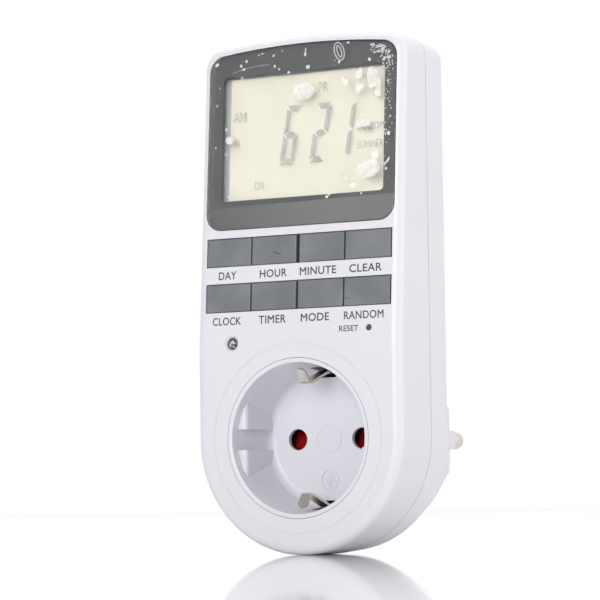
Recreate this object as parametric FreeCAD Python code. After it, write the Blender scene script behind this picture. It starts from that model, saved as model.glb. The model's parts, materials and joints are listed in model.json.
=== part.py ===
import FreeCAD, Part
import math
import os

# Plug-through weekly timer. Millimetres, +Z up. The origin is the centre of the plug face, where the two pins
# leave. The pins point to +Y, the front with the display, keys and socket faces -Y.

V = FreeCAD.Vector

# Case
BODY_R = 30.0  # round bottom end, and half the width
TOP_Z = 105.1  # highest point of the curved top
TOP_ARC_R = 219.0
CORNER_R = 5.0
FRONT_Y = -55.5  # lower front face, square to the pins
SEAM_Y = -38.4  # where the two shells meet
BACK_Y = -26.4  # flat back of the rear shell
PEDESTAL_Y = -17.5  # round step that carries the plug
BEND_Z = 24.05  # above this height the front leans back
TILT = 4.05  # degrees that the upper front leans back
BEND_R = 60.0
WALL = 2.0
EDGE_R = 2.5
BACK_EDGE_R = 2.0
DRAFT = 0.7  # the rear shell is this much smaller at its back
SEAM_GROOVE = 0.14  # each shell is stepped in by this much, and over this length, at the seam

# Rear step and plug
PEDESTAL_R = 25.9
PEDESTAL_FLAT = 24.8
BOSS_R = 18.5
BOSS_FLAT = 16.3
BOSS_FLAT_HALF = 10.4
BOSS_RIB_HALF = 2.3
BOSS_FACE = 2.6
PIN_X = 9.5
PIN_R = 2.4
PIN_LENGTH = 19.0
PIN_TIP_R = 1.6
PLUG_EARTH_HALF = 2.8  # half the width of an earth contact of the plug
PLUG_EARTH_Z = (17.4, 18.2)
PIN_NECK_R = 2.0  # thinner neck of each pin, through the plug face
PIN_NECK = 0.3  # length of the neck outside the plug face
PIN_SINK_R = 2.6  # countersink round each pin in the plug face
PIN_SINK = 0.6
PIN_COLLAR_R = 3.4
PIN_COLLAR_T = 1.8
PIN_TAIL_R = 1.2
PIN_TAIL_Y = -13.2
BAR_HALF = 1.3  # half the width of the strips to the pins

# Socket
MOUTH_R = 19.43
RIM_R = 20.6
RIM_GAP = 0.12
FLOOR_R = 17.8
CUP_WALL = 1.4
FLANGE_D = (WALL + 0.1, WALL + 0.9)  # depths of the cup's flange behind the front wall
RECESS = 17.5
FLOOR_T = 1.3
FLOOR_Y = FRONT_Y + RECESS
CUP_BACK_Y = FLOOR_Y + FLOOR_T
ENTRY = 3.4  # straight length of the mouth before the wall tapers
HOLE_R = 2.81
FLOOR_FILLET = 2.2
GUIDE_X = 16.8
GUIDE_D = 3.1  # depth of the front of the guide blocks
GUIDE_FILLET = 1.0
GUIDE_Z = (2.7, 10.1)
COLLAR_R = 24.57  # fine ring moulded round the mouth
MARK_R = 2.65  # ring round the earth mark
MARK_LINE = 0.26
MARK_RAISE = 0.3
MARK_Z = -10.7
CLIP_HALF = 1.4  # half the width of an earth clip
CLIP_T = 0.7
SLOT_HALF = 2.15  # opening that an earth clip comes out of
SLOT_Z = 16.1
SHUTTER_Y = -33.3  # front of the shutter
SHUTTER_T = 2.2
SPRING_R = 0.8
SPRING_WIRE_R = 0.2
SPRING_PITCH = 1.44
SPRING_TURNS = 6
SPRING_FOOT_Z = -11.86
GUIDE_BACK_Y = (-30.9, -30.1)
CONTACT_Y = -30.0

# Screws that hold the two shells together
LOW_SCREWS = [(sx * 16.2, sz * 16.2) for sx in (-1, 1) for sz in (-1, 1)]
TOP_SCREWS = [(-22.0, 100.6), (22.0, 100.6)]
POST_R = 2.2
WELL_R = 2.2
TUBE_R = 3.2
SCREW_HOLE_R = 1.3
SCREW_SEAT_Y = -32.0
OPENING_R = 20.5  # hole in the rear shell behind the socket

# Shallow empty recess for a rating label on the back
LABEL_HALF = 20.0
LABEL_Z = (36.0, 88.0)
LABEL_DEPTH = 0.25

# Display, heights measured up the leaning face from the bend and added to BEND_Z
LENS_HALF = 27.9
LENS_Z = (54.94, 103.35)
LENS_ARC_R = 205.0
LENS_CORNER_R = 4.5
LENS_T = 1.5
LENS_GAP = 0.12
CLEAR_HALF = 24.05
CLEAR_Z = (62.88, 96.14)
MASK_T = 0.1
FILM_T = 0.08
FILM_LEFT = -26.1
FILM_LOW = (60.97, 61.74)  # height of the film's lower edge at its left and right ends
SLIP = 0.02  # air between flat layers that lie on each other
LEDGE_T = 3.0  # depth at which the ledge under the lens ends
GLASS_HALF = 25.5
GLASS_Z = (59.8, 97.4)
GLASS_STEP_Z = 62.4
GLASS_T = 1.1
GLASS_D = 1.8  # depth of the front of the display glass
SHEET_HALF = 22.9
SHEET_TOP = 95.9

# Boards
BOARD_D = 7.0
BOARD_T = 1.4
BOARD_HALF = 27.0
BOARD_Z = (22.5, 98.0)
POWER_Y = (-31.0, -29.4)
POWER_Z = (24.0, 66.0)
POWER_HALF = 26.0
BOARD_POSTS = [(-24.5, 43.05), (24.5, 43.05), (-24.5, 56.3), (24.5, 56.3)]
POWER_POSTS = [(-23.5, 27.0), (23.5, 27.0), (-23.5, 63.0), (23.5, 63.0)]

# Keys
KEY_ROWS = {"top": (45.24, 52.89), "low": (33.20, 40.84)}
KEY_HALF = 27.41
KEY_GAP = 0.16
KEY_END_GAP = 0.42  # right-hand end of each row
KEY_MID_GAP = {"top": 0.9, "low": 0.5}  # between the two pairs of a row
KEY_PAIR_GAP = 0.3
KEY_CAP_T = 3.0
KEY_FLANGE_D = 2.15
KEY_FLANGE = 0.45
STEM_D = 5.25  # depth of the foot of each stem
MAT_D = 6.5
KEY_NAMES = {
    "top": ["key_day", "key_hour", "key_minute", "key_clear"],
    "low": ["key_clock", "key_program", "key_mode", "key_random"],
}
RESET_X = 21.12
RESET_Z = 27.56
RESET_HOLE_R = 0.85
LED_X = -19.39
LED_Z = 25.06
LED_R = 1.5
LED_COLLAR_R = 1.9
LED_LEG = 0.25  # half the width of a leg

# Thread holes and shanks of the board screws and the case screws
BOARD_HOLE_R = 0.85
BOARD_PASS_R = 0.95
BOARD_SHANK_R = 0.8
BOARD_HEAD_R = 1.8
BOARD_HEAD_T = 1.1
BOARD_SHANK = 3.2
CASE_HOLE_R = 1.25
CASE_SHANK_R = 1.15
CASE_HEAD_R = 2.0
CASE_HEAD_T = 1.7
CASE_SHANK = 13.5
CROSS_HALF = (0.3, 1.3)

# Parts on the control board, whose places are behind the leaning face
CHIP_X, CHIP_Z, CHIP_R, CHIP_T = 2.0, 78.0, 6.0, 1.3
CRYSTAL_X, CRYSTAL_Z, CRYSTAL_R, CRYSTAL_LENGTH = 13.0, 76.0, 1.0, 6.0
CELL_X, CELL_Z, CELL_R = -15.0, 82.0, 7.7
TAB_X = (-17.0, -13.0)
TAB_T = 0.45
GRIP_D = (0.5, 6.1)  # depths of the cell's two faces behind the board

# Relay
RELAY_X = (5.0, 20.6)
RELAY_Z = (35.6, 56.4)
RELAY_FRONT_Y = -43.2
RELAY_BASE_Y = -32.6
RELAY_WALL = 0.8
COIL_X = 12.8
COIL_Y = -36.6
COIL_R = 3.4
CHEEK_R = 3.9
CORE_R = 2.2
COIL_Z = (38.6, 39.4, 49.6, 50.4, 51.0)  # lower cheek, winding, upper cheek and end of the core
YOKE_HALF = 3.0
ARM_HALF = 1.6
ARM_CONTACT_Z = 42.0
ARM_CONTACT_R = 0.9
PIVOT_R = 0.45


def box(x0, x1, y0, y1, z0, z1):
    return Part.makeBox(x1 - x0, y1 - y0, z1 - z0, V(x0, y0, z0))


def rod(radius, x, z, y0, y1):
    """A cylinder along Y."""
    return Part.makeCylinder(radius, y1 - y0, V(x, y0, z), V(0, 1, 0))


def ring(outer, inner, x, z, y0, y1):
    return rod(outer, x, z, y0, y1).cut(rod(inner, x, z, y0 - 1, y1 + 1))


def deep(depth):
    """Y of a depth below the front face, before the face is leaned back."""
    return FRONT_Y + depth


def lean(shape):
    """Turn something built behind an upright front onto the leaning upper front."""
    return shape.rotated(V(0, FRONT_Y, BEND_Z), V(1, 0, 0), -TILT)


def fuse(shapes):
    return shapes[0].multiFuse(shapes[1:]).removeSplitter()


def cut(shape, tools):
    return shape.cut(Part.makeCompound(tools))


def mirror_x(shape):
    return shape.mirror(V(0, 0, 0), V(1, 0, 0))


def mirror_z(shape):
    return shape.mirror(V(0, 0, 0), V(0, 0, 1))


def plate(points, x0, x1):
    """A flat shape given by (y, z) points, extruded from x0 to x1."""
    corners = [V(x0, y, z) for y, z in points]
    face = Part.Face(Part.makePolygon(corners + corners[:1]))
    return face.extrude(V(x1 - x0, 0, 0))


def panel_wire(half, low, top, top_r, corner_r, low_r, y):
    """Outline with straight sides, a shallow arc on top and rounded corners, at the depth y."""
    centre_z = top - top_r
    corner_x = half - corner_r
    corner_z = centre_z + math.sqrt((top_r - corner_r) ** 2 - corner_x**2)
    angle = math.atan2(corner_z - centre_z, corner_x)
    tangent = (top_r * math.cos(angle), centre_z + top_r * math.sin(angle))
    middle = (corner_x + corner_r * math.cos(angle / 2), corner_z + corner_r * math.sin(angle / 2))
    slant = low_r * (1 - math.sqrt(0.5))

    def at(x, z):
        return V(x, y, z)

    def arc(a, b, c):
        return Part.Arc(at(*a), at(*b), at(*c)).toShape()

    edges = [
        Part.makeLine(at(half, low + low_r), at(half, corner_z)),
        arc((half, corner_z), middle, tangent),
        arc(tangent, (0, top), (-tangent[0], tangent[1])),
        arc((-tangent[0], tangent[1]), (-middle[0], middle[1]), (-half, corner_z)),
        Part.makeLine(at(-half, corner_z), at(-half, low + low_r)),
        arc((-half, low + low_r), (slant - half, low + slant), (low_r - half, low)),
        arc((half - low_r, low), (half - slant, low + slant), (half, low + low_r)),
    ]
    if half > low_r:
        edges.insert(6, Part.makeLine(at(low_r - half, low), at(half - low_r, low)))
    return Part.Wire(edges)


def body_wire(inset, y):
    r = BODY_R - inset
    return panel_wire(r, -r, TOP_Z - inset, TOP_ARC_R - inset, CORNER_R - inset, r, y)


def lens_panel(inset, d0, d1):
    """The window's outline as a plate between two depths."""
    wire = panel_wire(
        LENS_HALF - inset,
        LENS_Z[0] + inset,
        LENS_Z[1] - inset,
        LENS_ARC_R,
        LENS_CORNER_R,
        LENS_CORNER_R,
        deep(d0),
    )
    return Part.Face(wire).extrude(V(0, d1 - d0, 0))


def rounded_box(half, z0, z1, radius, d0, d1):
    """An upright plate with rounded corners between two depths."""
    block = box(-half, half, deep(d0), deep(d1), z0, z1)
    corners = [e for e in block.Edges if abs(e.Vertexes[0].Y - e.Vertexes[1].Y) > 0.01]
    return block.makeFillet(radius, corners)


def front_profile(inset):
    """Everything behind the front face: upright below the bend and leaning back above it."""
    lean_rad = math.radians(TILT)
    y = FRONT_Y + inset
    z = BEND_Z - inset * math.tan(lean_rad / 2)
    reach = BEND_R * math.tan(lean_rad / 2)
    bulge = BEND_R * (1 / math.cos(lean_rad / 2) - 1)
    start = V(-40, y, z - reach)
    end = V(-40, y + reach * math.sin(lean_rad), z + reach * math.cos(lean_rad))
    middle = V(-40, y + bulge * math.cos(lean_rad / 2), z - bulge * math.sin(lean_rad / 2))
    high = 110.0
    top = V(-40, y + (high - z) * math.tan(lean_rad), high)
    edges = [
        Part.makeLine(V(-40, y, -40), start),
        Part.Arc(start, middle, end).toShape(),
        Part.makeLine(end, top),
        Part.makeLine(top, V(-40, SEAM_Y + 5, high)),
        Part.makeLine(V(-40, SEAM_Y + 5, high), V(-40, SEAM_Y + 5, -40)),
        Part.makeLine(V(-40, SEAM_Y + 5, -40), V(-40, y, -40)),
    ]
    return Part.Face(Part.Wire(edges)).extrude(V(80, 0, 0))


def front_depth(point):
    """How far a point lies behind the front face."""
    lean_rad = math.radians(TILT)
    flat = point.y - FRONT_Y
    leaning = flat * math.cos(lean_rad) - (point.z - BEND_Z) * math.sin(lean_rad)
    return min(flat, leaning) if point.z > BEND_Z else flat


def front_form(inset):
    plan = Part.Face(body_wire(inset, FRONT_Y - 2)).extrude(V(0, SEAM_Y - FRONT_Y + 2, 0))
    return plan.common(front_profile(inset))


def seam_groove(y0, y1):
    """Fine step cut round the outside of a shell where it meets the other."""
    band = Part.Face(body_wire(-1.0, y0)).extrude(V(0, y1 - y0, 0))
    core = Part.Face(body_wire(2 * SEAM_GROOVE, y0 - 1)).extrude(V(0, y1 - y0 + 2, 0))
    return band.cut(core)


def front_shell():
    outer = front_form(0)
    rim = []
    for edge in outer.Edges:
        a, b = edge.Vertexes[0].Point, edge.Vertexes[-1].Point
        across = abs(a.z - b.z) < 0.01 and abs(a.z - BEND_Z) < 4
        if front_depth(a) < 0.06 and front_depth(b) < 0.06 and not across:
            rim.append(edge)
    shell = outer.makeFillet(EDGE_R, rim).cut(front_form(WALL))
    return shell.cut(seam_groove(SEAM_Y - SEAM_GROOVE, SEAM_Y + 1))


def front_housing():
    """Front shell with the window frame, key openings, socket hole and screw posts."""
    shell = front_shell()
    frame = lean(box(-28.5, 28.5, deep(1.0), deep(LEDGE_T), 54.1, 104.5)).common(front_form(1.0))
    posts = [rod(POST_R, x, z, FRONT_Y + 1, SEAM_Y) for x, z in LOW_SCREWS]
    posts += [rod(POST_R, x, z, -49.0, SEAM_Y) for x, z in TOP_SCREWS]
    board_posts = [rod(1.6, x, z, deep(1), deep(BOARD_D)) for x, z in BOARD_POSTS]
    solid = fuse([shell, frame] + posts + [lean(p) for p in board_posts])
    holes = [rod(BOARD_HOLE_R, x, z, deep(3.2), deep(BOARD_D + 1)) for x, z in BOARD_POSTS]
    holes += [lens_panel(0, -1, LENS_T + MASK_T)]
    holes += [box(-25.7, 25.7, deep(1), deep(9), GLASS_Z[0] - 0.2, GLASS_Z[1] + 0.2)]
    for low, high in KEY_ROWS.values():
        holes.append(box(-KEY_HALF, KEY_HALF, deep(-1), deep(WALL + 0.1), low, high))
    holes.append(rod(RESET_HOLE_R, RESET_X, RESET_Z, deep(-1), deep(4)))
    holes.append(rod(LED_R + 0.1, LED_X, LED_Z, deep(-1), deep(4)))
    cone = Part.makeCone(2.2, LED_R + 0.1, 0.7, V(LED_X, deep(0), LED_Z), V(0, 1, 0))
    holes.append(cone)
    solid = cut(solid, [lean(h) for h in holes])
    round_holes = [rod(RIM_R + RIM_GAP, 0, 0, FRONT_Y - 1, SEAM_Y)]
    round_holes.append(ring(COLLAR_R + 0.15, COLLAR_R - 0.15, 0, 0, FRONT_Y - 1, FRONT_Y + 0.12))
    screws = LOW_SCREWS + TOP_SCREWS
    round_holes += [rod(CASE_HOLE_R, x, z, SEAM_Y - 8, SEAM_Y + 1) for x, z in screws]
    return cut(solid, round_holes)


def rear_form():
    outer = Part.makeLoft([body_wire(0, SEAM_Y), body_wire(DRAFT, BACK_Y)], True, True)
    back_rim = [e for e in outer.Edges if all(abs(v.Y - BACK_Y) < 0.01 for v in e.Vertexes)]
    return outer.makeFillet(BACK_EDGE_R, back_rim)


def rear_housing():
    """Rear shell, open behind the socket, with its screw wells, board posts and a recess for a label."""
    inner_back = BACK_Y - WALL
    space = Part.makeLoft([body_wire(WALL, SEAM_Y - 1), body_wire(WALL + DRAFT, inner_back)], True, True)
    shell = rear_form().cut(space)
    tubes = [rod(TUBE_R, x, z, SEAM_Y, BACK_Y).common(rear_form()) for x, z in LOW_SCREWS + TOP_SCREWS]
    tubes += [rod(2.2, x, z, POWER_Y[1], BACK_Y - 1) for x, z in POWER_POSTS]
    solid = fuse([shell.cut(rod(OPENING_R, 0, 0, inner_back - 1, BACK_Y + 1))] + tubes)
    holes = [rod(WELL_R, x, z, SCREW_SEAT_Y, 0) for x, z in LOW_SCREWS + TOP_SCREWS]
    holes += [rod(SCREW_HOLE_R, x, z, SEAM_Y - 1, 0) for x, z in LOW_SCREWS + TOP_SCREWS]
    holes += [rod(BOARD_HOLE_R, x, z, POWER_Y[1] - 1, BACK_Y - 0.6) for x, z in POWER_POSTS]
    label = box(-LABEL_HALF, LABEL_HALF, BACK_Y - LABEL_DEPTH, BACK_Y + 1, *LABEL_Z)
    upright = [e for e in label.Edges if abs(e.Vertexes[0].Y - e.Vertexes[1].Y) > 0.01]
    holes += [label.makeFillet(1.5, upright), seam_groove(SEAM_Y - 1, SEAM_Y + SEAM_GROOVE)]
    return cut(solid, holes)


def pedestal_form(inset, y0, y1):
    flat = PEDESTAL_FLAT - inset
    disc = rod(PEDESTAL_R - inset, 0, 0, y0, y1)
    return disc.common(box(-flat, flat, y0, y1, -30, 30))


def boss_form():
    """Round end of the plug, with a flat guide recess and a rib on each side."""
    disc = rod(BOSS_R, 0, 0, PEDESTAL_Y - 1, 0)
    rim = [e for e in disc.Edges if abs(e.CenterOfMass.y) < 0.01]
    disc = disc.makeFillet(0.8, rim)
    recess = box(BOSS_FLAT, 20, PEDESTAL_Y, 1, -BOSS_FLAT_HALF, BOSS_FLAT_HALF)
    recess = recess.cut(box(BOSS_FLAT - 1, 18.0, PEDESTAL_Y - 1, 1, -BOSS_RIB_HALF, BOSS_RIB_HALF))
    return disc.cut(recess).cut(mirror_x(recess))


def plug_body():
    """Hollow round step and plug end, fixed behind the rear shell by the lower case screws."""
    step = pedestal_form(0, BACK_Y, PEDESTAL_Y)
    step_rim = [e for e in step.Edges if all(abs(v.Y - PEDESTAL_Y) < 0.01 for v in e.Vertexes)]
    outer = fuse([step.makeFillet(0.8, step_rim), boss_form()])
    inner_step = pedestal_form(WALL, BACK_Y - 1, PEDESTAL_Y - WALL)
    inner_boss = rod(16.4, 0, 0, PEDESTAL_Y - WALL - 1, -BOSS_FACE)
    inner_boss = inner_boss.common(box(-14.4, 14.4, -30, 0, -20, 20))
    tubes = [rod(TUBE_R, x, z, BACK_Y, PEDESTAL_Y - 1).common(step) for x, z in LOW_SCREWS]
    solid = fuse([outer.cut(fuse([inner_step, inner_boss]))] + tubes)
    holes = [rod(WELL_R, x, z, BACK_Y - 1, 0) for x, z in LOW_SCREWS]
    for x in (-PIN_X, PIN_X):
        holes.append(rod(PIN_NECK_R + 0.02, x, 0, -BOSS_FACE - 1, 1))
        holes.append(Part.makeCone(PIN_NECK_R, PIN_SINK_R, PIN_SINK, V(x, -PIN_SINK, 0), V(0, 1, 0)))
    groove_half = PLUG_EARTH_HALF + 0.3
    groove = box(-groove_half, groove_half, -17.4, 1, PLUG_EARTH_Z[0] - 0.05, 20)
    slot = box(-groove_half, groove_half, -17.4, -16.1, 14.0, 18)
    holes += [groove, slot, mirror_z(groove), mirror_z(slot)]
    return cut(solid, holes)


def earth_mark(z):
    """Raised protective-earth sign in a circle on the socket floor, with its stem pointing down."""
    top, foot = FLOOR_Y - MARK_RAISE, FLOOR_Y + 0.5
    line = MARK_LINE / 2
    widest = z - 0.4
    marks = [box(-line, line, top, foot, widest - 1.5, widest)]
    for rise, half in ((0.0, 1.9), (0.83, 1.2), (1.7, 0.9)):
        marks.append(box(-half, half, top, foot, widest + rise - line, widest + rise + line))
    return marks + [ring(MARK_R, MARK_R - MARK_LINE, 0, z, top, foot)]


def cup_profile():
    """Half section of the socket cup, turned about the Y axis."""
    lip = 0.45
    points = [
        (0, FLOOR_Y),
        (FLOOR_R, FLOOR_Y),
        (MOUTH_R, FRONT_Y + ENTRY),
        (MOUTH_R, FRONT_Y + lip),
        (MOUTH_R + 0.12, FRONT_Y + 0.14),
        (MOUTH_R + lip, FRONT_Y),
        (RIM_R, FRONT_Y),
        (RIM_R, FRONT_Y + FLANGE_D[0]),
        (RIM_R + 1, FRONT_Y + FLANGE_D[0]),
        (RIM_R + 1, FRONT_Y + FLANGE_D[1]),
        (RIM_R, FRONT_Y + FLANGE_D[1]),
        (FLOOR_R + CUP_WALL, CUP_BACK_Y),
        (0, CUP_BACK_Y),
    ]
    corners = [V(r, y, 0) for r, y in points]
    return Part.Face(Part.makePolygon(corners + corners[:1]))


def guide_rail(z0, z1):
    """One of the two blocks at each side that turn the plug upright, with a rounded lead-in."""
    front = FRONT_Y + GUIDE_D
    block = box(GUIDE_X, 20.0, front, FLOOR_Y + 0.5, z0, z1)
    lead = [e for e in block.Edges if all(abs(v.X - GUIDE_X) + abs(v.Y - front) < 0.01 for v in e.Vertexes)]
    limit = Part.makeCone(RIM_R - 0.2, FLOOR_R + 1.0, RECESS - 1, V(0, FRONT_Y + 1, 0), V(0, 1, 0))
    return block.makeFillet(GUIDE_FILLET, lead).common(limit)


def socket_cup():
    cup = cup_profile().revolve(V(0, 0, 0), V(0, 1, 0), 360)
    corner = []
    for edge in cup.Edges:
        radius = edge.Curve.Radius if isinstance(edge.Curve, Part.Circle) else 0
        if abs(radius - FLOOR_R) < 0.01 and abs(edge.CenterOfMass.y - FLOOR_Y) < 0.01:
            corner.append(edge)
    cup = cup.makeFillet(FLOOR_FILLET, corner)
    rail = guide_rail(*GUIDE_Z)
    rails = [rail, mirror_z(rail), mirror_x(rail), mirror_x(mirror_z(rail))]
    cup = fuse([cup] + rails + earth_mark(MARK_Z))
    holes = [rod(HOLE_R, x, 0, FLOOR_Y - 1, CUP_BACK_Y + 1) for x in (-PIN_X, PIN_X)]
    holes.append(ring(3.68, 3.48, 0, 0, FLOOR_Y - 1, FLOOR_Y + 0.14))
    slot = box(-SLOT_HALF, SLOT_HALF, FLOOR_Y - 6.5, CUP_BACK_Y + 1, SLOT_Z, 22)
    holes += [slot, mirror_z(slot)]
    holes += [rod(POST_R + 0.15, x, z, FRONT_Y, SEAM_Y) for x, z in LOW_SCREWS]
    return cut(cup, holes)


def earth_clip():
    """Sprung earth strip: out of its slot, in towards the plug and curled back at its rounded tip."""
    x = -CLIP_HALF
    path = [
        Part.makeLine(V(x, -35.3, 17.1), V(x, -41.0, 16.95)),
        Part.makeLine(V(x, -41.0, 16.95), V(x, -49.3, 14.2)),
        Part.Arc(V(x, -49.3, 14.2), V(x, -50.6, 14.15), V(x, -51.5, 14.9)).toShape(),
        Part.makeLine(V(x, -51.5, 14.9), V(x, -53.7, 17.6)),
    ]
    strip = Part.Wire(path).makeOffset2D(CLIP_T, 0, True, True, False)
    solid = strip.extrude(V(2 * CLIP_HALF, 0, 0))
    tip = [e for e in solid.Edges if abs(e.Length - CLIP_T) < 0.01 and all(v.Y < -53 for v in e.Vertexes)]
    return solid.makeFillet(CLIP_HALF - 0.05, tip)


def earth_bridge():
    """Strip that joins both earth clips of the socket to both earth contacts of the plug."""
    half = 2.0
    upright = box(-half, half, -22.8, -22.0, -18.8, 18.8)
    front_leg = box(-half, half, -35.2, -22.0, 17.1, 17.8)
    rear_leg = box(-half, half, -22.8, -17.05, 14.8, 15.6)
    return fuse([upright, front_leg, rear_leg, mirror_z(front_leg), mirror_z(rear_leg)])


def plug_earth():
    """Earth contact along the plug body, with its foot through the wall."""
    half = PLUG_EARTH_HALF
    low, high = PLUG_EARTH_Z
    strip = box(-half, half, -17.0, -1.4, low, high)
    tip = plate([(-1.4, low), (-0.8, low), (-1.4, high)], -half, half)
    foot = box(-half, half, -17.0, -16.2, 14.8, low + 0.2)
    return fuse([strip, tip, foot])


def plug_pin(x):
    """Pin with a rounded tip, a fine neck at the plug face and a collar that holds it inside."""
    pin = rod(PIN_R, x, 0, PIN_NECK, PIN_LENGTH)
    tip = [e for e in pin.Edges if abs(e.CenterOfMass.y - PIN_LENGTH) < 0.01]
    collar_back = -BOSS_FACE - PIN_COLLAR_T
    neck = rod(PIN_NECK_R, x, 0, collar_back, PIN_NECK)
    collar = rod(PIN_COLLAR_R, x, 0, collar_back, -BOSS_FACE)
    tail = rod(PIN_TAIL_R, x, 0, PIN_TAIL_Y, collar_back)
    return fuse([pin.makeFillet(PIN_TIP_R, tip), neck, collar, tail])


def plug_bar(side):
    """Brass strip from a plug pin up to the power board."""
    x0, x1 = side * PIN_X - BAR_HALF, side * PIN_X + BAR_HALF
    low = box(x0, x1, -12.8, -12.0, -2.6, 12.0)
    back = box(x0, x1, POWER_Y[1], -12.0, 11.2, 12.0)
    rise = box(x0, x1, POWER_Y[1], POWER_Y[1] + 0.6, 11.2, 28.0)
    eye = rod(PIN_TAIL_R + 0.02, side * PIN_X, 0, -14, -10)
    return fuse([low, back, rise]).cut(eye)


def socket_contact(side):
    """Fork that grips a plug pin, with a tail to the power board."""
    leaf = box(6.9, 12.7, CONTACT_Y, -20.0, 2.45, 3.05)
    web = box(12.1, 12.7, CONTACT_Y, -24.0, -3.05, 3.05)
    tail = box(12.1, 12.7, POWER_Y[1], -28.4, 3.0, 27.0)
    fork = fuse([leaf, mirror_z(leaf), web, tail])
    return fork if side > 0 else mirror_x(fork)


def safety_shutter():
    """Slide that covers both pin holes; its sloped flags are pushed down by a plug's two pins."""
    front, back = SHUTTER_Y, SHUTTER_Y + SHUTTER_T
    flag = [(front, -3.0), (front, -1.8), (back - 0.8, 3.1), (back, 3.1), (back, -3.0)]
    flags = [plate(flag, 6.2, 12.9), plate(flag, -12.9, -6.2)]
    return fuse(flags + [box(-6.5, 6.5, front + 0.2, back, -3.0, -0.6)])


def shutter_guide():
    """Plate behind the shutter, with a rail at each end and a seat for the spring."""
    joined_y = sum(GUIDE_BACK_Y) / 2
    back = box(-14.6, 14.6, *GUIDE_BACK_Y, -13.1, 5.4)
    rail = box(13.4, 14.6, CUP_BACK_Y, joined_y, -13.1, 5.4)
    seat = box(-1.8, 1.8, CUP_BACK_Y, joined_y, -13.1, -12.1)
    holes = [rod(3.2, x, 0, SHUTTER_Y, CONTACT_Y) for x in (-PIN_X, PIN_X)]
    return cut(fuse([back, rail, mirror_x(rail), seat]), holes)


def shutter_spring():
    """Open coil spring between the shutter and its seat."""
    helix = Part.makeHelix(SPRING_PITCH, SPRING_TURNS * SPRING_PITCH, SPRING_R)
    section = Part.Wire(Part.makeCircle(SPRING_WIRE_R, V(SPRING_R, 0, 0), V(0, 1, 0)))
    spring = Part.Wire(helix.Edges).makePipeShell([section], True, True)
    spring.translate(V(0, SHUTTER_Y + SHUTTER_T / 2, SPRING_FOOT_Z))
    return spring


def window_lens():
    lens = lens_panel(LENS_GAP, 0, LENS_T)
    rim = [e for e in lens.Edges if all(abs(v.Y - FRONT_Y) < 0.01 for v in e.Vertexes)]
    return lean(lens.makeFillet(0.25, rim))


def window_mask():
    """Dark printed border behind the lens."""
    mask = lens_panel(LENS_GAP, LENS_T + SLIP, LENS_T + MASK_T)
    clear = rounded_box(CLEAR_HALF, CLEAR_Z[0], CLEAR_Z[1], 1.2, LENS_T - 1, LENS_T + 1)
    return lean(mask.cut(clear))


def window_film():
    """Thin peel-off film over most of the lens, cut a little askew along its lower edge."""
    film = lens_panel(0.5, -FILM_T - SLIP, -SLIP)
    left, right = FILM_LEFT, LENS_HALF
    corners = [V(left, deep(-1), FILM_LOW[0]), V(right, deep(-1), FILM_LOW[1]), V(right, deep(-1), TOP_Z)]
    corners.append(V(left, deep(-1), TOP_Z))
    kept = Part.Face(Part.makePolygon(corners + corners[:1])).extrude(V(0, 2, 0))
    return lean(film.common(kept))


def lcd_front_glass():
    front = GLASS_D
    return lean(box(-GLASS_HALF, GLASS_HALF, deep(front), deep(front + GLASS_T), *GLASS_Z))


def lcd_back_glass():
    front = GLASS_D + GLASS_T
    return lean(box(-GLASS_HALF, GLASS_HALF, deep(front + SLIP), deep(front + GLASS_T), GLASS_STEP_Z, GLASS_Z[1]))


def lcd_reflector():
    """Cream sheet stuck behind the glass, a little smaller than it."""
    front = GLASS_D + 2 * GLASS_T
    return lean(box(-SHEET_HALF, SHEET_HALF, deep(front + SLIP), deep(front + 0.2), GLASS_STEP_Z, SHEET_TOP))


def lcd_holder():
    """Frame that carries the display on the control board, with a slot for the contact strip."""
    frame = box(-26.6, 26.6, deep(LEDGE_T + 0.1), deep(BOARD_D), 58.6, 98.0)
    glass = box(-25.6, 25.6, deep(LEDGE_T), deep(4.25), GLASS_Z[0] - 0.1, GLASS_Z[1] + 0.1)
    slot = box(-23.2, 23.2, deep(4), deep(BOARD_D + 1), 59.8, 62.2)
    pocket = box(-24.6, 24.6, deep(5.2), deep(BOARD_D + 1), 63.6, 96.6)
    return lean(cut(frame, [glass, slot, pocket]))


def zebra_strip():
    front = GLASS_D + GLASS_T
    return lean(box(-23, 23, deep(front), deep(BOARD_D), 60.0, 62.0))


def control_board():
    board = box(-BOARD_HALF, BOARD_HALF, deep(BOARD_D), deep(BOARD_D + BOARD_T), *BOARD_Z)
    holes = [rod(BOARD_PASS_R, x, z, deep(BOARD_D - 1), deep(BOARD_D + 3)) for x, z in BOARD_POSTS]
    return lean(cut(board, holes))


def small_screw(x, z, y_under_head, direction):
    """Pan-head screw whose shank runs along Y from under its head."""
    head = sorted((y_under_head, y_under_head - direction * BOARD_HEAD_T))
    shank = sorted((y_under_head, y_under_head + direction * BOARD_SHANK))
    return fuse([rod(BOARD_HEAD_R, x, z, *head), rod(BOARD_SHANK_R, x, z, *shank)])


def board_screws():
    front = [lean(small_screw(x, z, deep(BOARD_D + BOARD_T), -1)) for x, z in BOARD_POSTS]
    rear = [small_screw(x, z, POWER_Y[0], 1) for x, z in POWER_POSTS]
    return Part.makeCompound(front + rear)


def case_screw(x, z):
    """Screw through the rear shell, with a cross in its head."""
    top = SCREW_SEAT_Y + CASE_HEAD_T
    head = rod(CASE_HEAD_R, x, z, SCREW_SEAT_Y, top)
    shank = rod(CASE_SHANK_R, x, z, SCREW_SEAT_Y - CASE_SHANK, SCREW_SEAT_Y)
    thin, wide = CROSS_HALF
    cross = [box(x - a, x + a, top - 0.8, top + 1, z - b, z + b) for a, b in ((thin, wide), (wide, thin))]
    return cut(fuse([head, shank]), cross)


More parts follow.
